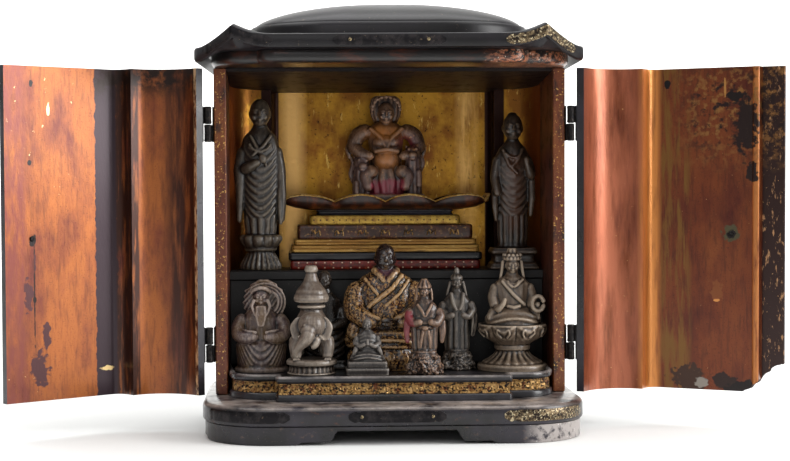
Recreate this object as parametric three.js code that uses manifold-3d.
// Household altar cabinet: a lacquered case with two curved doors, standing open,
// with a stepped altar and eleven carved figures inside.
// Millimetres, +Z up, the front faces -Y. Inside this file Y = 0 is the front plane of the side boards,
// X = 0 the plane of symmetry and Z = 0 the floor; the last lines move the origin to the rear foot.
import * as THREE from "three";
import { mergeVertices } from "three/addons/utils/BufferGeometryUtils.js";
import Module from "manifold-3d";

const wasm = await Module();
wasm.setup();

// Fits
const fit = 0.3;
const doorPlay = 0.8;

// Case: side boards, back board and the two lobes of each rounded corner
const caseWidth = 317.8;
const sideThickness = 11;
const sideDepth = 80;
const backThickness = 8.5;
const outerLobeWidth = 41.9;
const outerLobeDepth = 49;
const innerLobeWidth = 16;
const innerLobeDepth = 19.5;
const lobeSteps = 5;

// Base: feet apron and slab
const footHeight = 16;
const apronThickness = 12;
const apronSetback = 2;
const apronOpeningHeight = 12;
const frontOpeningWidth = 104;
const sideOpeningWidth = 96;
const openingShoulder = 8;
const footPadLength = 26;
const footPadRise = 2.4;
const slabThickness = 17;
const slabWidth = 338;
const slabFrontY = -92;
const slabBackY = 158;
const slabCornerRadius = 62;
const slabEdgeRound = 3;

// Doors: leaf, lip over the meeting edge, bead, broken lower corner, pull studs
const doorHeight = 294;
const leafThickness = 7;
const meetingX = 7;
const lipWidth = 21;
const lipThickness = 4;
const lipRoot = 8;
const beadWidth = 6.5;
const beadHeight = 2.2;
const leftOpenAngle = THREE.MathUtils.degToRad(142);
const rightOpenAngle = THREE.MathUtils.degToRad(151);
const pinOffset = 5.35;
const pullEdgeDistance = 26;
const pullHeight = 143;
const pullPinRadius = 1.4;
const pullKnobRadius = 3.2;
const pullKnobLength = 5;
const pullHeadRadius = 2.4;
const pullHeadLength = 1.2;

// Hinges
const hingeLength = 32;
const hingeRadius = 3.6;
const hingePlate = 1.2;
const hingePlateWidth = 13;
const lowerHingeHeight = 45;
const upperHingeDrop = 50;

// Front step, riser and upper shelf
const stepClearance = 5.5;
const stepPlinthHeight = 6;
const stepFriezeHeight = 9.9;
const stepFriezeInset = 2.2;
const stepTopHeight = 6.4;
const stepRimWidth = 5;
const stepRimRise = 3.9;
const riserFrontY = 62;
const riserThickness = 6;
const shelfTop = 142;
const shelfThickness = 8;
const shelfNosing = 2;

// Ceiling inside, header and roof
const ceilingFrontDrop = 3;
const ceilingBackDrop = 15;
const ceilingFrontY = 4;
const headerThickness = 11;
const headerOverhang = 1.8;
const headerFillet = 1.4;
const roofTurn = THREE.MathUtils.degToRad(-2.5);
const roofCentreY = 36;
const eaveThickness = 12.7;
const eaveFrontY = -85;
const eaveBackY = 164;
const eaveWidth = 344;
const eavePeakX = 135;
const eaveRiseStartX = 100;
const eavePeakRise = 8.3;
const eaveShoulderX = 167.5;
const eaveShoulderY = -46;
const eaveShoulderDrop = 8.5;
const eaveFlatAbove = 34;
const eaveFlatBelow = 7.5;
const eaveEdgeRound = 2.8;
const roofWidth = 254;
const roofDepth = 200;
const roofLowerTier = 11.5;
const roofRise = 34.3;

// Black metal mounts on the eave and the slab: a plate a little thicker than sheet, on the edge's face
const mountThickness = 1.3;
const eaveMountHeight = 9;
const eaveMiddleMountHalf = 48.6;
const slabMountHeight = 10;
const slabMiddleMountHalf = 42;
const slabCornerMountFrom = 92;
const slabCornerMountTo = 164;

// Altar stand on the shelf
const altarY = 107;
const altarDepth = 52;
const altarFootWidth = 182;
const altarFootHeight = 8.7;
const altarSlabWidth = 185;
const altarSlabHeight = 7.5;
const altarGoldWidth = 180;
const altarGoldHeight = 7;
const altarSillWidth = 175.2;
const altarSillHeight = 5.5;
const altarWaistWidth = 168;
const altarWaistSetback = 5;
const altarWaistHeight = 13.7;
const altarBandWidth = 144;
const altarBandSetback = 7;
const altarBandHeight = 9;
const altarNeckWidth = 132;
const altarNeckSetback = 9;
const altarNeckHeight = 5;
const altarCornerRadius = 4;
const trayWidth = 204;
const trayDepth = 56;
const trayPetals = 14;
const petalNotch = 7;
const trayRimHeight = 15.7;
const trayFloorDrop = 7.5;

const black = { color: 0x1b1719, roughness: 0.35, metalness: 0 };
const wornGold = { color: 0x7a4a22, roughness: 0.45, metalness: 0.3 };
const brightGold = { color: 0xa8792f, roughness: 0.4, metalness: 0.5 };
const redLacquer = { color: 0x5e2418, roughness: 0.45, metalness: 0 };
const darkIron = { color: 0x151416, roughness: 0.5, metalness: 0.6 };
const oldWood = { color: 0x3f2f24, roughness: 0.7, metalness: 0 };

// Heights that follow from the sizes above
const slabTop = footHeight + slabThickness;
const doorBottom = slabTop + doorPlay;
const headerBottom = doorBottom + doorHeight + doorPlay;
const headerTop = headerBottom + headerThickness;
const eaveBottom = headerTop + fit;
const eaveTop = eaveBottom + eaveThickness;
const stepTop = slabTop + stepPlinthHeight + stepFriezeHeight + stepTopHeight - stepRimRise;
const slabMountMiddle = footHeight + slabThickness / 2;
const pinX = caseWidth / 2 + pinOffset;
const sideInnerX = caseWidth / 2 - sideThickness;
const cuspX = caseWidth / 2 - outerLobeWidth;
const lobeFront = outerLobeDepth + innerLobeDepth;

const model = new THREE.Group();

function addPiece(name, geometry, look, parent = model) {
  const mesh = new THREE.Mesh(geometry, new THREE.MeshStandardMaterial(look));
  mesh.name = name;
  parent.add(mesh);
  return mesh;
}

function solidOf(geometry) {
  const bare = geometry.index ? geometry.toNonIndexed() : geometry.clone();
  bare.deleteAttribute("normal");
  bare.deleteAttribute("uv");
  const merged = mergeVertices(bare, 1e-4);
  const mesh = new wasm.Mesh({
    numProp: 3,
    vertProperties: new Float32Array(merged.attributes.position.array),
    triVerts: new Uint32Array(merged.index.array),
  });
  return new wasm.Manifold(mesh);
}

function geometryOf(solid) {
  const mesh = solid.getMesh();
  const geometry = new THREE.BufferGeometry();
  geometry.setAttribute("position", new THREE.BufferAttribute(mesh.vertProperties, 3));
  geometry.setIndex(new THREE.BufferAttribute(mesh.triVerts, 1));
  return geometry;
}

function joined(geometries) {
  return geometryOf(geometries.map(solidOf).reduce((whole, next) => whole.add(next)));
}

function cut(geometry, tools) {
  return geometryOf(tools.map(solidOf).reduce((whole, tool) => whole.subtract(tool), solidOf(geometry)));
}

// A closed body through rings of equal length, each ring anticlockwise seen from the far end.
// Its ends are level outlines, or "fan" for small round ends, or "star" for a fan from the end's middle.
function loft(rings, ends = "outline") {
  const count = rings[0].length;
  const lastRow = (rings.length - 1) * count;
  const positions = rings.flat().flatMap((point) => [point.x, point.y, point.z]);
  const faces = [];
  for (let row = 0; row < rings.length - 1; row += 1) {
    for (let i = 0; i < count; i += 1) {
      const a = row * count + i;
      const b = row * count + ((i + 1) % count);
      faces.push(a, b, b + count, a, b + count, a + count);
    }
  }
  if (ends === "star") {
    const lowMiddle = positions.length / 3;
    for (const ring of [rings[0], rings.at(-1)]) {
      const middle = ring.reduce((sum, point) => sum.add(point), new THREE.Vector3()).divideScalar(count);
      positions.push(middle.x, middle.y, middle.z);
    }
    for (let i = 0; i < count; i += 1) {
      const next = (i + 1) % count;
      faces.push(lowMiddle, next, i, lowMiddle + 1, lastRow + i, lastRow + next);
    }
  } else {
    const fan = Array.from({ length: count - 2 }, (_, i) => [0, i + 1, i + 2]);
    const capOf = (ring) => (ends === "fan" ? fan : THREE.ShapeUtils.triangulateShape(
      ring.map((point) => new THREE.Vector2(point.x, point.y)), []));
    capOf(rings[0]).forEach(([a, b, c]) => faces.push(a, c, b));
    capOf(rings.at(-1)).forEach(([a, b, c]) => faces.push(lastRow + a, lastRow + b, lastRow + c));
  }
  const geometry = new THREE.BufferGeometry();
  geometry.setAttribute("position", new THREE.Float32BufferAttribute(positions, 3));
  geometry.setIndex(faces);
  return geometry;
}

function level(outline, z) {
  return outline.map((point) => new THREE.Vector3(point.x, point.y, z));
}

function prism(outline, zLow, zHigh) {
  return loft([level(outline, zLow), level(outline, zHigh)]);
}

function box(xLow, xHigh, yLow, yHigh, zLow, zHigh) {
  const geometry = new THREE.BoxGeometry(xHigh - xLow, yHigh - yLow, zHigh - zLow);
  return geometry.translate((xLow + xHigh) / 2, (yLow + yHigh) / 2, (zLow + zHigh) / 2);
}

// One rounded corner of the plan, from the side to the flat, as [across, forward] from the side board's edge.
// It is offset inwards by inset; a negative inset offsets it outwards.
function lobedCorner(inset) {
  const quarter = (step) => (step / lobeSteps) * (Math.PI / 2);
  const steps = Array.from({ length: lobeSteps + 1 }, (_, step) => quarter(step));
  const outer = steps.map((angle) => new THREE.Vector2(
    cuspX + (outerLobeWidth - inset) * Math.cos(angle),
    (outerLobeDepth - inset) * Math.sin(angle),
  ));
  const inner = steps.map((angle) => new THREE.Vector2(
    cuspX - innerLobeWidth + (innerLobeWidth - inset) * Math.cos(angle),
    outerLobeDepth + (innerLobeDepth - inset) * Math.sin(angle),
  ));
  const corner = new THREE.Vector2(cuspX - inset, outerLobeDepth - inset);
  return [
    ...outer.filter((point) => point.x > corner.x + 0.01),
    corner,
    ...inner.filter((point) => point.y > corner.y + 0.01),
  ];
}

// The whole plan of the case, anticlockwise, with its corners at the front and at the back
function casePlan(inset) {
  const corner = lobedCorner(inset);
  const place = (signX, signY, shiftY) => corner.map(
    (point) => new THREE.Vector2(signX * point.x, signY * point.y + shiftY),
  );
  return [
    ...place(1, 1, sideDepth),
    ...place(-1, 1, sideDepth).reverse(),
    ...place(-1, -1, 0),
    ...place(1, -1, 0).reverse(),
  ];
}

function roundedPlan(xHalf, yLow, yHigh, radius, steps = 4) {
  const corners = [
    [xHalf - radius, yHigh - radius, 0],
    [-xHalf + radius, yHigh - radius, 1],
    [-xHalf + radius, yLow + radius, 2],
    [xHalf - radius, yLow + radius, 3],
  ];
  return corners.flatMap(([x, y, quarter]) => Array.from({ length: steps + 1 }, (_, step) => {
    const angle = (quarter + step / steps) * (Math.PI / 2);
    return new THREE.Vector2(x + radius * Math.cos(angle), y + radius * Math.sin(angle));
  }));
}

// Base

// The cut under the apron, drawn across and upwards: each foot has a low lobe, then a raised inner end,
// and from there an ogee leads up into the long opening
function openingShape(width) {
  const half = width / 2;
  const end = half + openingShoulder;
  const shape = new THREE.Shape();
  shape.moveTo(-end - footPadLength - openingShoulder, -1);
  shape.quadraticCurveTo(-end - footPadLength, -1, -end - footPadLength, footPadRise);
  shape.lineTo(-end, footPadRise);
  shape.quadraticCurveTo(-half, footPadRise, -half, apronOpeningHeight);
  shape.lineTo(half, apronOpeningHeight);
  shape.quadraticCurveTo(half, footPadRise, end, footPadRise);
  shape.lineTo(end + footPadLength, footPadRise);
  shape.quadraticCurveTo(end + footPadLength, -1, end + footPadLength + openingShoulder, -1);
  return shape;
}

function feetApron() {
  const half = slabWidth / 2 - apronSetback;
  const front = slabFrontY + apronSetback;
  const back = slabBackY - apronSetback;
  const outer = roundedPlan(half, front, back, slabCornerRadius - apronSetback);
  const ring = new THREE.Shape(outer);
  const inner = roundedPlan(half - apronThickness, front + apronThickness, back - apronThickness,
    slabCornerRadius - apronSetback - apronThickness);
  ring.holes.push(new THREE.Path(inner.reverse()));
  const apron = new THREE.ExtrudeGeometry(ring, { depth: footHeight - fit, bevelEnabled: false });
  const reach = 3 * apronThickness;
  const frontCut = new THREE.ExtrudeGeometry(openingShape(frontOpeningWidth),
    { depth: reach, bevelEnabled: false, curveSegments: 3 });
  frontCut.rotateX(Math.PI / 2).translate(0, front + 2 * apronThickness, 0);
  const sideCut = new THREE.ExtrudeGeometry(openingShape(sideOpeningWidth),
    { depth: 2 * slabWidth, bevelEnabled: false, curveSegments: 3 });
  sideCut.rotateX(Math.PI / 2).rotateZ(Math.PI / 2).translate(-slabWidth, (front + back) / 2, 0);
  return cut(apron, [frontCut, sideCut]);
}

function baseSlab() {
  const plan = (inset) => roundedPlan(
    slabWidth / 2 - inset, slabFrontY + inset, slabBackY - inset, slabCornerRadius - inset);
  const half = slabEdgeRound / 2;
  return loft([
    level(plan(half), footHeight),
    level(plan(0), footHeight + half),
    level(plan(0), slabTop - slabEdgeRound),
    level(plan(half), slabTop - half),
    level(plan(slabEdgeRound), slabTop),
  ]);
}

// Front step

// The plan behind frontY inside the case, following the back board
function insidePlan(inset, frontY) {
  const limit = sideInnerX - fit;
  return casePlan(inset).filter((point) => point.y > frontY).map((point) => new THREE.Vector2(
    THREE.MathUtils.clamp(point.x, -limit, limit), point.y));
}

// The plan of the front step, following the inside of the closed doors
function stepPlan(inset, rear = riserFrontY - fit) {
  const limit = sideInnerX - fit;
  const lobes = casePlan(leafThickness + stepClearance + inset).filter((point) => point.y <= 0);
  const front = lobes.map((point) => new THREE.Vector2(
    THREE.MathUtils.clamp(point.x, -limit, limit), point.y));
  return [new THREE.Vector2(limit, rear), new THREE.Vector2(-limit, rear), ...front];
}

function stepTier(zLow, zHigh, profile) {
  return loft(profile.map(([share, inset]) => level(stepPlan(inset), zLow + share * (zHigh - zLow))));
}

// The top board has a raised rim along its front, and the figures stand behind the rim
function stepTopBoard(zLow, zHigh) {
  const board = stepTier(zLow, zHigh, [[0, 1.2], [0.25, 0], [0.75, 0], [1, 1.4]]);
  const sunk = stepPlan(stepRimWidth, riserFrontY + fit).map((point) => new THREE.Vector2(
    Math.abs(point.x) > sideInnerX - 2 * fit ? 2 * point.x : point.x, point.y));
  return cut(board, [prism(sunk, zHigh - stepRimRise, zHigh + 1)]);
}

function riserBoard() {
  const limit = sideInnerX - fit;
  return box(-limit, limit, riserFrontY, riserFrontY + riserThickness, slabTop + fit,
    shelfTop - shelfThickness - fit);
}

function shelfBoard() {
  const limit = sideInnerX - fit;
  const frontY = riserFrontY - shelfNosing;
  const rear = insidePlan(backThickness + fit, riserFrontY);
  return prism([new THREE.Vector2(limit, frontY), ...rear, new THREE.Vector2(-limit, frontY)],
    shelfTop - shelfThickness, shelfTop);
}

// Case

function sideBoard(side) {
  const geometry = box(sideInnerX, caseWidth / 2, 0, sideDepth - fit, slabTop + fit, headerBottom - fit);
  return side > 0 ? geometry : geometry.rotateZ(Math.PI).translate(0, sideDepth - fit, 0);
}

function backBoard() {
  const outer = casePlan(0).filter((point) => point.y >= sideDepth);
  const inner = casePlan(backThickness).filter((point) => point.y >= sideDepth);
  return prism([...outer, ...inner.reverse()], slabTop + fit, headerBottom - fit);
}

// The ceiling board is a wedge: level above, sloping down towards the back below
function ceilingBoard() {
  const top = headerBottom - fit;
  const limit = sideInnerX - fit;
  const rear = insidePlan(backThickness + fit, sideDepth / 2);
  const plan = [new THREE.Vector2(limit, ceilingFrontY), ...rear, new THREE.Vector2(-limit, ceilingFrontY)];
  const backY = sideDepth + lobeFront - backThickness - fit;
  const underside = (y) => top - THREE.MathUtils.mapLinear(
    y, ceilingFrontY, backY, ceilingFrontDrop, ceilingBackDrop);
  return loft([
    plan.map((point) => new THREE.Vector3(point.x, point.y, underside(point.y))),
    level(plan, top),
  ]);
}

// The header follows the closed doors, with a small chamfer below
function header() {
  const plan = (overhang) => casePlan(-overhang);
  return loft([
    level(plan(headerOverhang - headerFillet), headerBottom),
    level(plan(headerOverhang), headerBottom + headerFillet),
    level(plan(headerOverhang), headerTop),
  ]);
}

// Doors, drawn closed

function leafPlan(inset, edgeX, side) {
  const corner = lobedCorner(inset).map((point) => new THREE.Vector2(side * point.x, -point.y - fit));
  return [...corner, new THREE.Vector2(edgeX, -lobeFront + inset - fit)];
}

function studHole(x) {
  const hole = new THREE.CylinderGeometry(pullPinRadius + fit, pullPinRadius + fit, 6 * leafThickness, 8);
  return hole.translate(x, -lobeFront, doorBottom + pullHeight);
}

function leftLeaf() {
  const edge = meetingX - fit;
  const outer = leafPlan(0, edge, -1);
  const inner = leafPlan(leafThickness, edge, -1);
  const leaf = prism([...outer, ...inner.reverse()], doorBottom, doorBottom + doorHeight);
  return cut(leaf, [studHole(edge - pullEdgeDistance)]);
}

// The lost corner, as [distance past the meeting edge, height above the leaf's lower edge]
const brokenCorner = [[-18, -1], [-11, 2], [-1, 9], [3, 15.5], [14, 24], [lipWidth + 4, 27], [lipWidth + 4, -1]];

function rightLeaf() {
  const edge = meetingX + fit;
  const front = -lobeFront - fit;
  const inner = leafPlan(leafThickness, edge + beadWidth, 1).reverse();
  const beadSteps = [1, 2, 3, 4, 5].map((step) => (step / 6) * Math.PI);
  const bead = beadSteps.map((angle) => new THREE.Vector2(
    edge + beadWidth / 2 - (beadWidth / 2) * Math.cos(angle),
    front + leafThickness + beadHeight * Math.sin(angle),
  ));
  const lip = [
    new THREE.Vector2(edge + lipRoot, front),
    new THREE.Vector2(edge + lipRoot - lipThickness / 2, front - lipThickness - fit),
    new THREE.Vector2(edge - lipWidth, front - lipThickness - fit),
    new THREE.Vector2(edge - lipWidth, front - 2 * fit),
    new THREE.Vector2(edge, front - 2 * fit),
    new THREE.Vector2(edge, front + leafThickness),
  ];
  const outer = leafPlan(0, edge + lipRoot + 1, 1);
  const outline = [...outer, ...lip, ...bead, ...inner].reverse();
  const leaf = prism(outline, doorBottom, doorBottom + doorHeight);
  const lost = new THREE.Shape(brokenCorner.map(([past, up]) => new THREE.Vector2(edge - past, up)));
  const loss = new THREE.ExtrudeGeometry(lost, { depth: 8 * leafThickness, bevelEnabled: false });
  loss.rotateX(Math.PI / 2).translate(0, -lobeFront + 4 * leafThickness, doorBottom);
  return cut(leaf, [loss, studHole(edge + pullEdgeDistance)]);
}

// A pull: a knob outside, a pin through the leaf and a small riveted head inside
function doorPull(x) {
  const outside = lobeFront + 2 * fit;
  const inside = lobeFront - leafThickness;
  const profile = [
    [0, inside - pullHeadLength], [pullHeadRadius, inside - pullHeadLength],
    [pullHeadRadius, inside], [pullPinRadius, inside], [pullPinRadius, outside],
    [pullKnobRadius * 0.6, outside], [pullKnobRadius, outside + pullKnobLength / 2],
    [pullKnobRadius * 0.8, outside + pullKnobLength], [0, outside + pullKnobLength],
  ];
  const points = profile.map(([radius, along]) => new THREE.Vector2(radius, along));
  const pull = new THREE.LatheGeometry(points, 7);
  return pull.rotateX(Math.PI).translate(x, 0, doorBottom + pullHeight);
}

// Hinges: the lower half knuckle belongs to the side board, the upper one to the door
function hingeHalf(side, middle, onDoor) {
  const wall = caseWidth / 2;
  const zLow = onDoor ? middle + fit / 2 : middle - hingeLength / 2;
  const zHigh = onDoor ? middle + hingeLength / 2 : middle - fit / 2;
  const knuckle = new THREE.CylinderGeometry(hingeRadius, hingeRadius, zHigh - zLow, 8);
  knuckle.rotateX(Math.PI / 2).translate(pinX, 0, (zLow + zHigh) / 2);
  const forward = onDoor ? -1 : 1;
  const near = 2 * fit;
  const plateStart = onDoor ? -near - hingePlateWidth : near;
  const plate = box(wall + fit, wall + fit + hingePlate, plateStart, plateStart + hingePlateWidth,
    middle - hingeLength / 2, middle + hingeLength / 2);
  const webStart = forward > 0 ? near : -near - hingePlate;
  const web = box(wall + fit, pinX, webStart, webStart + hingePlate, zLow, zHigh);
  const half = joined([knuckle, web, plate]);
  return side > 0 ? half : geometryOf(solidOf(half).mirror([1, 0, 0]));
}

// Roof

// Half of the eave's edge, from the middle of the front round to the middle of the back,
// as [x, y, lift]: level, then a concave rise to the corner peak, then down the slanted edge to the side.
function eaveEdge() {
  const edge = [[0, eaveFrontY, 0], [eaveRiseStartX * 0.6, eaveFrontY, 0]];
  const riseSteps = 5;
  for (let step = 0; step <= riseSteps; step += 1) {
    const share = step / riseSteps;
    edge.push([eaveRiseStartX + share * (eavePeakX - eaveRiseStartX), eaveFrontY, eavePeakRise * share ** 2.2]);
  }
  const fallSteps = 5;
  for (let step = 1; step <= fallSteps; step += 1) {
    const share = step / fallSteps;
    const lift = eavePeakRise * (1 - share) ** 1.8 - eaveShoulderDrop * share;
    edge.push([
      eavePeakX + share * (eaveShoulderX - eavePeakX),
      eaveFrontY + share * (eaveShoulderY - eaveFrontY),
      lift,
    ]);
  }
  const sideX = eaveWidth / 2;
  edge.push([sideX - 1, eaveShoulderY + 5, -eaveShoulderDrop]);
  edge.push([sideX, eaveShoulderY + 14, -eaveShoulderDrop]);
  edge.push([sideX, eaveBackY - 30, -eaveShoulderDrop]);
  edge.push([sideX - 4, eaveBackY - 14, -eaveShoulderDrop]);
  edge.push([sideX - 14, eaveBackY - 4, -eaveShoulderDrop]);
  edge.push([sideX - 30, eaveBackY, -eaveShoulderDrop / 2]);
  edge.push([0, eaveBackY, 0]);
  return edge;
}

// The full ring of the eave at one inset; the lift fades with the inset
function eaveRing(inset, z, liftShare) {
  const centreY = (eaveFrontY + eaveBackY) / 2;
  const halfDepth = (eaveBackY - eaveFrontY) / 2;
  const halfWidth = eaveWidth / 2;
  const pull = ([x, y, lift]) => new THREE.Vector3(
    x * (1 - inset / halfWidth),
    centreY + (y - centreY) * (1 - inset / halfDepth),
    z + lift * liftShare,
  );
  const right = eaveEdge().map(pull);
  const left = right.slice(1, -1).reverse().map((point) => new THREE.Vector3(-point.x, point.y, point.z));
  return [...right, ...left];
}

function eavePlate() {
  return loft([
    eaveRing(eaveFlatBelow, eaveBottom, 0),
    eaveRing(eaveEdgeRound, eaveBottom, 1),
    eaveRing(0, eaveBottom + eaveEdgeRound, 1),
    eaveRing(0, eaveTop - eaveEdgeRound, 1),
    eaveRing(eaveEdgeRound, eaveTop, 1),
    eaveRing(eaveFlatAbove, eaveTop, 0),
  ]);
}

// The roof: an upright lower tier with a soft shoulder, then a flattened dome
function roofDome() {
  const bottom = eaveTop + fit;
  const shoulder = 0.97;
  const crown = 0.952;
  const tiers = [[0, 1], [roofLowerTier * 0.7, 0.992], [roofLowerTier, shoulder], [roofLowerTier, crown]];
  const domeSteps = 6;
  const lastAngle = THREE.MathUtils.degToRad(82);
  for (let step = 1; step <= domeSteps; step += 1) {
    const angle = (step / domeSteps) * lastAngle;
    const rise = roofLowerTier + (roofRise - roofLowerTier) * Math.sin(angle) ** 1.3 / Math.sin(lastAngle) ** 1.3;
    tiers.push([rise, crown * Math.cos(angle)]);
  }
  return loft(tiers.map(([rise, share]) => {
    const xHalf = (roofWidth / 2) * share;
    const yHalf = (roofDepth / 2) * share;
    return level(roundedPlan(xHalf, roofCentreY - yHalf, roofCentreY + yHalf, yHalf * 0.8), bottom + rise);
  }));
}

// Mounts

// A plate on the upright face of an edge, along points [x, y, lift] that run round it anticlockwise
function edgeMount(along, middle, height) {
  const half = height / 2;
  const rings = along.map(([x, y, lift], i) => {
    const before = along[Math.max(i - 1, 0)];
    const after = along[Math.min(i + 1, along.length - 1)];
    const direction = new THREE.Vector2(after[0] - before[0], after[1] - before[1]).normalize();
    const corner = (reach, rise) => new THREE.Vector3(
      x + direction.y * reach, y - direction.x * reach, middle + lift + rise);
    const outside = fit + mountThickness;
    return [corner(fit, -half), corner(fit, half), corner(outside, half), corner(outside, -half)];
  });
  return loft(rings, "fan");
}

function mirrored(geometry) {
  return geometryOf(solidOf(geometry).mirror([1, 0, 0]));
}

// The eave's corner mount is folded round the peak
function eaveCornerMount() {
  const along = eaveEdge().filter(([x, y]) => x > eaveRiseStartX - 0.1 && y <= eaveShoulderY - 6);
  return edgeMount(along, (eaveBottom + eaveTop) / 2, eaveMountHeight);
}

function straightMount(half, y, middle, height) {
  return edgeMount([[-half, y, 0], [half, y, 0]], middle, height);
}

// The slab's corner mount follows the slab's rounded corner
function slabCornerMount() {
  const turn = roundedPlan(slabWidth / 2, slabFrontY, slabBackY, slabCornerRadius, 8)
    .filter((point) => point.y < 0 && point.x > slabCornerMountFrom && point.x < slabCornerMountTo);
  const along = [[slabCornerMountFrom, slabFrontY, 0], ...turn.map((point) => [point.x, point.y, 0])];
  return edgeMount(along, slabMountMiddle, slabMountHeight);
}

// Altar stand

function altarTier(halfWidth, halfDepth, zLow, zHigh, roundness) {
  const plan = (inset) => roundedPlan(
    halfWidth - inset, altarY - halfDepth + inset, altarY + halfDepth - inset, altarCornerRadius, 1);
  return loft([
    level(plan(roundness), zLow),
    level(plan(0), zLow + (zHigh - zLow) * 0.3),
    level(plan(0), zLow + (zHigh - zLow) * 0.7),
    level(plan(roundness), zHigh),
  ]);
}

// Small raised motifs stand along the waist, as one carved board
function altarWaist(halfWidth, halfDepth, zLow, zHigh) {
  const core = altarTier(halfWidth, halfDepth, zLow, zHigh, 0.3);
  const motifs = [];
  const motifCount = 7;
  for (let i = 0; i < motifCount; i += 1) {
    const x = (i - (motifCount - 1) / 2) * (2 * halfWidth / (motifCount + 0.6));
    const motif = new THREE.OctahedronGeometry(1, 0);
    motif.scale(5.5, 1.6, (zHigh - zLow) * 0.34);
    motifs.push(motif.translate(x, altarY - halfDepth, (zLow + zHigh) / 2));
  }
  return joined([core, ...motifs]);
}

// The tray has a rim of pointed lotus petals round a sunk floor. Each petal has four points along the rim:
// the notch beside it, two flanks and its tip.
function altarTray(zLow) {
  const pointsEach = 4;
  const flankShares = [1, 0.3, 0, 0.3];
  const count = trayPetals * pointsEach;
  const ring = (xHalf, yHalf, z, notch) => Array.from({ length: count }, (_, i) => {
    const angle = ((i + pointsEach / 2) / count) * 2 * Math.PI;
    const shape = 1 / (Math.abs(Math.cos(angle)) ** 6 + Math.abs(Math.sin(angle)) ** 6) ** (1 / 6);
    const low = flankShares[i % pointsEach] * notch;
    return new THREE.Vector3(
      (xHalf - 0.2 * low) * shape * Math.cos(angle),
      altarY + (yHalf - 0.2 * low) * shape * Math.sin(angle),
      z - low,
    );
  });
  const halfWidth = trayWidth / 2;
  const halfDepth = trayDepth / 2;
  const top = zLow + trayRimHeight;
  return loft([
    ring(halfWidth * 0.7, halfDepth * 0.66, zLow, 0),
    ring(halfWidth * 0.93, halfDepth * 0.9, zLow + trayRimHeight * 0.35, 0.8),
    ring(halfWidth, halfDepth, top, petalNotch),
    ring(halfWidth - 3, halfDepth - 3, top - 1, petalNotch - 0.5),
    ring(halfWidth - 7, halfDepth - 6, top - trayFloorDrop - 1, 0),
  ], "star");
}

// Carving helpers for the figures, all in shares of the figure's height

function ball(x, y, z, rx, ry, rz, around = 7, up = 5) {
  const geometry = new THREE.SphereGeometry(1, around, up);
  return geometry.rotateX(Math.PI / 2).scale(rx, ry, rz).translate(x, y, z);
}

// A turned or draped body with upright folds: rows of [height, half width, half depth, forward, fold depth]
function carved(rows, folds = 6) {
  return loft(rows.map(([z, halfWidth, halfDepth, forward = 0, depth = 0]) => (
    Array.from({ length: 2 * folds }, (_, i) => {
      const angle = (i * Math.PI) / folds;
      const reach = 1 - (i % 2) * depth;
      return new THREE.Vector3(
        halfWidth * reach * Math.cos(angle), halfDepth * reach * Math.sin(angle) - forward, z);
    })
  )));
}

// A limb or roll of cloth along a line of points, with a radius at each
function limb(points, radii, sides = 4) {
  const centres = points.map(([x, y, z]) => new THREE.Vector3(x, y, z));
  const rings = centres.map((centre, i) => {
    const before = centres[Math.max(i - 1, 0)];
    const after = centres[Math.min(i + 1, centres.length - 1)];
    const along = after.clone().sub(before).normalize();
    const aside = new THREE.Vector3(0, 1, 0).cross(along);
    if (aside.length() < 0.1) aside.set(1, 0, 0);
    aside.normalize();
    const across = along.clone().cross(aside);
    return Array.from({ length: sides }, (_, k) => {
      const angle = (k / sides) * 2 * Math.PI;
      return centre.clone()
        .addScaledVector(aside, radii[i] * Math.cos(angle))
        .addScaledVector(across, radii[i] * Math.sin(angle));
    });
  });
  return loft(rings, "fan");
}

function bothSides(make) {
  return [-1, 1].flatMap((side) => make(side));
}

function block(width, depth, zLow, zHigh) {
  return box(-width / 2, width / 2, -depth / 2, depth / 2, zLow, zHigh);
}

function head(x, y, z, size) {
  return ball(x, y, z, size * 0.74, size * 0.8, size);
}

// Left standing monk on a lotus with a fluted foot, one arm down, a necklace of beads on the chest
function standingMonk() {
  return [
    carved([
      [0, 0.128, 0.105, 0, 0.07], [0.04, 0.118, 0.1, 0, 0.12], [0.1, 0.084, 0.074, 0, 0.1],
      [0.13, 0.1, 0.09, 0, 0.1], [0.19, 0.13, 0.108, 0, 0.12], [0.205, 0.092, 0.075, 0, 0.05],
      [0.27, 0.1, 0.08, 0, 0.14], [0.45, 0.108, 0.08, 0, 0.1], [0.62, 0.118, 0.08, 0, 0.06],
      [0.76, 0.108, 0.068, 0, 0.02], [0.815, 0.06, 0.046], [0.86, 0.032, 0.032],
    ], 6),
    limb([[0.1, 0, 0.62], [0.122, -0.03, 0.52], [0.12, -0.03, 0.26]], [0.03, 0.026, 0.016]),
    limb([[-0.1, 0, 0.66], [-0.122, -0.03, 0.56], [-0.12, -0.03, 0.26]], [0.03, 0.03, 0.016]),
    limb([[-0.09, -0.03, 0.6], [0, -0.095, 0.63]], [0.034, 0.024]),
    head(0, -0.008, 0.915, 0.084),
  ];
}

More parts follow.
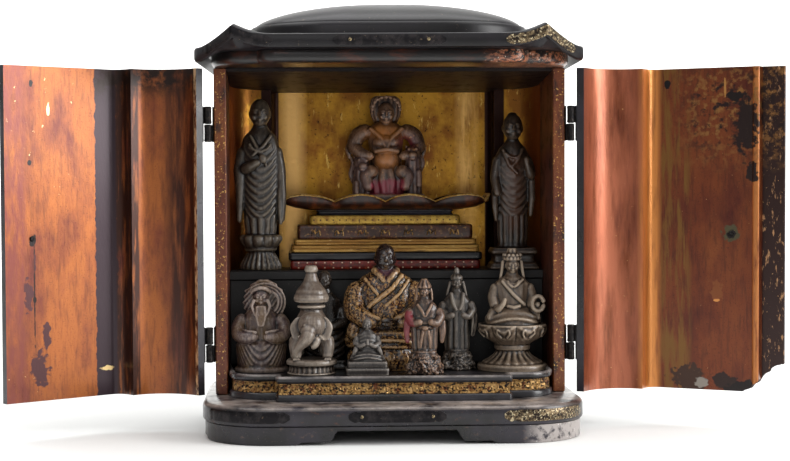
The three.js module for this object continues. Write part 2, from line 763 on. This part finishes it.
// Right standing figure on a stepped square pedestal, one hand raised before the chest
function standingAttendant() {
  return [
    block(0.32, 0.24, 0, 0.045),
    block(0.27, 0.2, 0.04, 0.1),
    block(0.3, 0.23, 0.095, 0.135),
    carved([
      [0.125, 0.105, 0.08], [0.16, 0.09, 0.07, 0, 0.06], [0.2, 0.098, 0.078, 0, 0.13],
      [0.4, 0.1, 0.078, 0, 0.12], [0.6, 0.112, 0.078, 0, 0.07], [0.75, 0.108, 0.068, 0, 0.02],
      [0.81, 0.05, 0.042], [0.85, 0.032, 0.032],
    ], 6),
    limb([[0.085, 0, 0.66], [0.118, -0.04, 0.6], [0.07, -0.1, 0.7]], [0.036, 0.036, 0.02]),
    limb([[-0.09, 0, 0.64], [-0.118, -0.03, 0.52], [-0.105, -0.04, 0.38]], [0.034, 0.032, 0.014]),
    head(0, -0.008, 0.905, 0.092),
  ];
}

// Centre guardian, arms akimbo, a hood behind its head, between two lion-dogs on one black base
function guardianGroup() {
  const lionDog = (side, x, lift) => [
    carved([[0.06, 0.1, 0.13, 0, 0.1], [0.2 + lift, 0.09, 0.13, 0, 0.12], [0.26 + lift, 0.085, 0.12, 0.02],
      [0.34 + lift, 0.08, 0.09, 0.05, 0.1], [0.42 + lift, 0.04, 0.05, 0.03]], 5)
      .translate(side * x, 0, 0),
  ];
  return [
    block(0.72, 0.36, 0, 0.07),
    ...lionDog(-1, 0.24, 0),
    ...lionDog(1, 0.27, 0.08),
    carved([
      [0.06, 0.17, 0.13, 0, 0.1], [0.2, 0.19, 0.15, 0, 0.14], [0.3, 0.15, 0.13, 0, 0.06],
      [0.44, 0.16, 0.15], [0.58, 0.18, 0.13], [0.7, 0.2, 0.11], [0.76, 0.08, 0.07],
    ]),
    ...bothSides((side) => limb(
      [[side * 0.15, 0, 0.69], [side * 0.31, 0, 0.58], [side * 0.31, -0.05, 0.46], [side * 0.12, -0.12, 0.44]],
      [0.075, 0.08, 0.075, 0.05])),
    head(0, -0.03, 0.83, 0.115),
    carved([[0.76, 0.125, 0.07, -0.05], [0.88, 0.16, 0.07, -0.05], [1, 0.13, 0.06, -0.05]], 5),
  ];
}

// Bearded seated elder before a large hood
function seatedElder() {
  return [
    carved([
      [0, 0.28, 0.2, 0, 0.02], [0.06, 0.28, 0.2, 0, 0.02], [0.07, 0.27, 0.19, 0, 0.08],
      [0.2, 0.3, 0.2, 0, 0.1], [0.32, 0.28, 0.16, 0, 0.1], [0.5, 0.27, 0.13, 0, 0.06],
      [0.62, 0.2, 0.11], [0.7, 0.08, 0.07], [0.74, 0.06, 0.06],
    ], 6),
    carved([[0.55, 0.16, 0.045, -0.09], [0.72, 0.235, 0.05, -0.09], [0.88, 0.22, 0.05, -0.08],
      [0.97, 0.13, 0.045, -0.07], [1, 0.05, 0.03, -0.06]], 5),
    ...bothSides((side) => limb(
      [[side * 0.2, -0.02, 0.52], [side * 0.2, -0.14, 0.36], [side * 0.05, -0.2, 0.4]], [0.07, 0.07, 0.045])),
    head(0, -0.05, 0.81, 0.12),
    limb([[0, -0.1, 0.77], [0, -0.17, 0.66], [0, -0.18, 0.52]], [0.075, 0.055, 0.012]),
  ];
}

// Elephant with a vase on its back, on a drum
function elephantVase() {
  return [
    carved([[0, 0.225, 0.225], [0.075, 0.215, 0.215], [0.085, 0.235, 0.235], [0.14, 0.235, 0.235]], 6),
    ball(0, 0.02, 0.36, 0.19, 0.22, 0.14),
    ...bothSides((side) => [-0.09, 0.12].map(
      (y) => limb([[side * 0.1, y, 0.32], [side * 0.11, y, 0.13]], [0.075, 0.062]))),
    ball(-0.02, -0.18, 0.44, 0.12, 0.12, 0.115),
    limb([[-0.03, -0.24, 0.43], [-0.08, -0.32, 0.28], [-0.14, -0.31, 0.18], [-0.19, -0.28, 0.21]],
      [0.06, 0.042, 0.03, 0.02]),
    ...bothSides((side) => ball(side * 0.14 - 0.02, -0.14, 0.42, 0.045, 0.07, 0.1, 5, 4)),
    carved([[0.44, 0.14, 0.14], [0.58, 0.12, 0.12], [0.61, 0.09, 0.09], [0.63, 0.13, 0.13, 0, 0.1],
      [0.67, 0.13, 0.13, 0, 0.1], [0.73, 0.165, 0.165, 0, 0.04], [0.79, 0.16, 0.16, 0, 0.04],
      [0.86, 0.08, 0.08], [0.95, 0.05, 0.05], [1, 0.065, 0.065]], 5),
  ];
}

// Dark monk seated behind the elephant
function rearMonk() {
  return [
    block(0.46, 0.29, 0, 0.09),
    carved([[0.08, 0.2, 0.15, 0, 0.06], [0.2, 0.24, 0.17, 0, 0.1], [0.36, 0.22, 0.14, 0, 0.08],
      [0.58, 0.2, 0.12, 0, 0.04], [0.72, 0.16, 0.1], [0.79, 0.07, 0.06], [0.84, 0.05, 0.05]]),
    head(0, -0.01, 0.9, 0.1),
  ];
}

// Large seated monk in a brocade robe, hands together over the lap
function seatedAbbot() {
  return [
    carved([
      [0, 0.28, 0.19, 0.02, 0.05], [0.08, 0.31, 0.21, 0.03, 0.06], [0.16, 0.29, 0.19, 0.03, 0.06],
      [0.19, 0.32, 0.2, 0.03, 0.05], [0.27, 0.33, 0.2, 0.03, 0.07], [0.36, 0.29, 0.16, 0.01, 0.08],
      [0.5, 0.27, 0.14, 0, 0.06], [0.64, 0.25, 0.13, 0, 0.03], [0.73, 0.2, 0.11, 0, 0.02],
      [0.785, 0.1, 0.08], [0.83, 0.07, 0.066],
    ], 7),
    ...bothSides((side) => limb(
      [[side * 0.22, -0.02, 0.56], [side * 0.23, -0.12, 0.42], [side * 0.04, -0.22, 0.38]], [0.07, 0.075, 0.045])),
    head(0, -0.01, 0.89, 0.12),
  ];
}

// Small dark seated figure on a two-step plinth
function smallSeated() {
  return [
    block(0.76, 0.6, 0, 0.115),
    block(0.66, 0.52, 0.11, 0.24),
    carved([[0.23, 0.26, 0.2, 0, 0.06], [0.33, 0.29, 0.21, 0, 0.08], [0.45, 0.22, 0.16, 0, 0.06],
      [0.62, 0.21, 0.13, 0, 0.03], [0.74, 0.16, 0.1], [0.8, 0.07, 0.06]]),
    head(0, -0.02, 0.885, 0.115),
  ];
}

// Rows of a rough rock base, under the rows of the figure that stands on it
function rockRows(halfWidth, halfDepth, height) {
  return [[0, halfWidth, halfDepth, 0, 0.1], [height * 0.4, halfWidth * 0.95, halfDepth, 0.01, 0.16],
    [height * 0.85, halfWidth * 0.82, halfDepth * 0.85, -0.01, 0.12]];
}

// Standing crowned figure on rocks
function crownedGuardian() {
  return [
    carved([
      ...rockRows(0.21, 0.17, 0.24),
      [0.25, 0.12, 0.09, 0, 0.06], [0.32, 0.15, 0.11, 0, 0.14], [0.48, 0.16, 0.11, 0, 0.1],
      [0.6, 0.18, 0.1, 0, 0.04], [0.72, 0.15, 0.09], [0.79, 0.06, 0.05], [0.83, 0.045, 0.045],
    ]),
    ...bothSides((side) => limb([[side * 0.14, -0.02, 0.62], [side * 0.08, -0.13, 0.56]], [0.05, 0.035])),
    carved([[0.79, 0.045, 0.05], [0.83, 0.066, 0.07], [0.9, 0.062, 0.065], [0.92, 0.08, 0.075, 0, 0.12],
      [1, 0.03, 0.03]], 6),
  ];
}

// Standing figure with a topknot and scarf, on rocks
function topknotGuardian() {
  return [
    carved([
      ...rockRows(0.19, 0.16, 0.2),
      [0.2, 0.11, 0.085, 0, 0.06], [0.28, 0.14, 0.1, 0, 0.14], [0.42, 0.14, 0.1, 0, 0.1],
      [0.58, 0.16, 0.095, 0, 0.04], [0.7, 0.14, 0.08], [0.77, 0.055, 0.045], [0.81, 0.04, 0.04],
    ]),
    ...bothSides((side) => limb([[side * 0.13, -0.02, 0.6], [side * 0.06, -0.12, 0.56]], [0.045, 0.03])),
    limb([[0.15, 0.02, 0.6], [0.19, 0.02, 0.5], [0.175, 0, 0.34]], [0.03, 0.024, 0.012]),
    carved([[0.77, 0.04, 0.045], [0.82, 0.064, 0.068], [0.9, 0.06, 0.064], [0.925, 0.05, 0.05],
      [0.94, 0.022, 0.022], [0.97, 0.03, 0.03], [1, 0.015, 0.015]]),
  ];
}

// Crowned figure seated on a lotus bowl with a round foot, a ring in its left hand
function lotusSeated() {
  const ring = new THREE.TorusGeometry(0.055, 0.015, 4, 9);
  ring.rotateX(Math.PI / 2).translate(0.2, -0.11, 0.49);
  return [
    carved([
      [0, 0.29, 0.29], [0.05, 0.29, 0.29, 0, 0.03], [0.09, 0.24, 0.24], [0.13, 0.15, 0.15, 0, 0.06],
      [0.2, 0.13, 0.13, 0, 0.04], [0.24, 0.2, 0.2, 0, 0.1], [0.31, 0.28, 0.28, 0, 0.14],
      [0.38, 0.285, 0.285, 0, 0.1], [0.4, 0.2, 0.16, 0.02, 0.02], [0.45, 0.235, 0.18, 0.03, 0.06],
      [0.51, 0.15, 0.12, 0.01, 0.06], [0.6, 0.13, 0.09, 0, 0.02], [0.71, 0.15, 0.09],
      [0.77, 0.06, 0.05], [0.81, 0.045, 0.045],
    ], 6),
    ...bothSides((side) => limb(
      [[side * 0.13, 0, 0.7], [side * 0.17, -0.03, 0.6], [side * 0.14, -0.11, 0.5]], [0.04, 0.04, 0.026])),
    ring,
    carved([[0.78, 0.045, 0.05], [0.82, 0.068, 0.07], [0.9, 0.062, 0.065], [0.93, 0.078, 0.075, 0, 0.15],
      [1, 0.03, 0.03]], 6),
  ];
}

// Assembly

addPiece("feet_apron", feetApron(), black);
addPiece("base_slab", baseSlab(), black);
addPiece("left_slab_mount", mirrored(slabCornerMount()), darkIron);
addPiece("middle_slab_mount", straightMount(slabMiddleMountHalf, slabFrontY, slabMountMiddle, slabMountHeight),
  darkIron);
addPiece("right_slab_mount", slabCornerMount(), darkIron);

const friezeBottom = slabTop + stepPlinthHeight;
const stepTopBottom = friezeBottom + stepFriezeHeight;
addPiece("step_plinth", stepTier(slabTop + fit, friezeBottom, [[0, 0], [0.6, 0], [1, 0.8]]), black);
addPiece("step_frieze", stepTier(friezeBottom + fit, stepTopBottom, [[0, stepFriezeInset], [1, stepFriezeInset]]),
  brightGold);
addPiece("step_top", stepTopBoard(stepTopBottom + fit, stepTop + stepRimRise), black);
addPiece("riser_board", riserBoard(), black);
addPiece("upper_shelf", shelfBoard(), black);

addPiece("left_side_board", sideBoard(-1), black);
addPiece("right_side_board", sideBoard(1), black);
addPiece("back_board", backBoard(), wornGold);
addPiece("ceiling_board", ceilingBoard(), redLacquer);
addPiece("header_board", header(), black);

// The roof stands a little turned on the header
const roof = new THREE.Group();
roof.position.set(0, roofCentreY, 0);
roof.rotation.z = roofTurn;
const onRoof = new THREE.Group();
onRoof.position.set(0, -roofCentreY, 0);
roof.add(onRoof);
model.add(roof);
addPiece("eave_plate", eavePlate(), black, onRoof);
addPiece("roof_dome", roofDome(), black, onRoof);
addPiece("left_corner_mount", mirrored(eaveCornerMount()), darkIron, onRoof);
addPiece("right_corner_mount", eaveCornerMount(), darkIron, onRoof);
addPiece("middle_eave_mount", straightMount(eaveMiddleMountHalf, eaveFrontY, (eaveBottom + eaveTop) / 2,
  eaveMountHeight), darkIron, onRoof);

const altarTiers = [
  ["altar_foot_band", altarFootWidth / 2, 0.3, altarFootHeight, redLacquer],
  ["altar_lower_slab", altarSlabWidth / 2, 0.8, altarSlabHeight, black],
  ["altar_gold_slab", altarGoldWidth / 2, 1, altarGoldHeight, brightGold],
  ["altar_gold_sill", altarSillWidth / 2, 0.8, altarSillHeight, brightGold],
];
let altarZ = shelfTop;
for (const [name, halfWidth, roundness, height, look] of altarTiers) {
  const setback = altarSlabWidth / 2 - halfWidth;
  addPiece(name, altarTier(halfWidth, altarDepth / 2 - setback, altarZ + fit, altarZ + height, roundness), look);
  altarZ += height;
}
addPiece("altar_waist", altarWaist(altarWaistWidth / 2, altarDepth / 2 - altarWaistSetback, altarZ + fit,
  altarZ + altarWaistHeight), redLacquer);
altarZ += altarWaistHeight;
addPiece("altar_upper_band", altarTier(altarBandWidth / 2, altarDepth / 2 - altarBandSetback, altarZ + fit,
  altarZ + altarBandHeight, 1), brightGold);
altarZ += altarBandHeight;
addPiece("altar_neck", altarTier(altarNeckWidth / 2, altarDepth / 2 - altarNeckSetback, altarZ + fit,
  altarZ + altarNeckHeight, 0.5), black);
altarZ += altarNeckHeight;
addPiece("altar_tray", altarTray(altarZ + fit), brightGold);
const trayFloor = altarZ + fit + trayRimHeight - trayFloorDrop - 1;

// Each figure: its carving, its height and where it stands
const figures = [
  ["standing_monk", standingMonk, 163, -119, 88, shelfTop],
  ["standing_attendant", standingAttendant, 149, 121.5, 81, shelfTop],
  ["guardian_group", guardianGroup, 102, 2, altarY, trayFloor],
  ["seated_elder", seatedElder, 84, -118, 28, stepTop],
  ["elephant_vase", elephantVase, 98, -72, 7, stepTop],
  ["rear_monk", rearMonk, 92, -59, 47, stepTop],
  ["seated_abbot", seatedAbbot, 117, -3, 38, stepTop],
  ["small_seated_figure", smallSeated, 51, -22, -5, stepTop],
  ["crowned_guardian", crownedGuardian, 86, 30, -4, stepTop],
  ["topknot_guardian", topknotGuardian, 94, 63, 32, stepTop],
  ["lotus_seated_figure", lotusSeated, 112, 114, 27, stepTop],
];
for (const [name, carve, height, x, y, floor] of figures) {
  const figure = joined(carve()).scale(height, height, height).translate(x, y, floor + fit);
  addPiece(name, figure, oldWood);
}

// Each door turns on its pins, from closed to where it stands open
for (const [word, side, openAngle] of [["left", -1, leftOpenAngle], ["right", 1, rightOpenAngle]]) {
  const door = new THREE.Group();
  door.position.set(side * pinX, 0, 0);
  door.rotation.z = side * openAngle;
  const onPin = new THREE.Group();
  onPin.position.set(-side * pinX, 0, 0);
  door.add(onPin);
  model.add(door);
  addPiece(`${word}_door`, side < 0 ? leftLeaf() : rightLeaf(), wornGold, onPin);
  const pullX = meetingX + side * (fit + pullEdgeDistance);
  addPiece(`${word}_door_pull`, doorPull(pullX), darkIron, onPin);
  const hingeHeights = { lower: doorBottom + lowerHingeHeight, upper: doorBottom + doorHeight - upperHingeDrop };
  for (const [height, middle] of Object.entries(hingeHeights)) {
    addPiece(`${word}_${height}_hinge_case_half`, hingeHalf(side, middle, false), darkIron);
    addPiece(`${word}_${height}_hinge_door_half`, hingeHalf(side, middle, true), darkIron, onPin);
  }
}

// The origin is under the middle of the rear foot rail
const rearApronY = slabBackY - apronSetback - apronThickness / 2;
model.position.set(0, -rearApronY, 0);
model.updateMatrixWorld(true);

export default model;
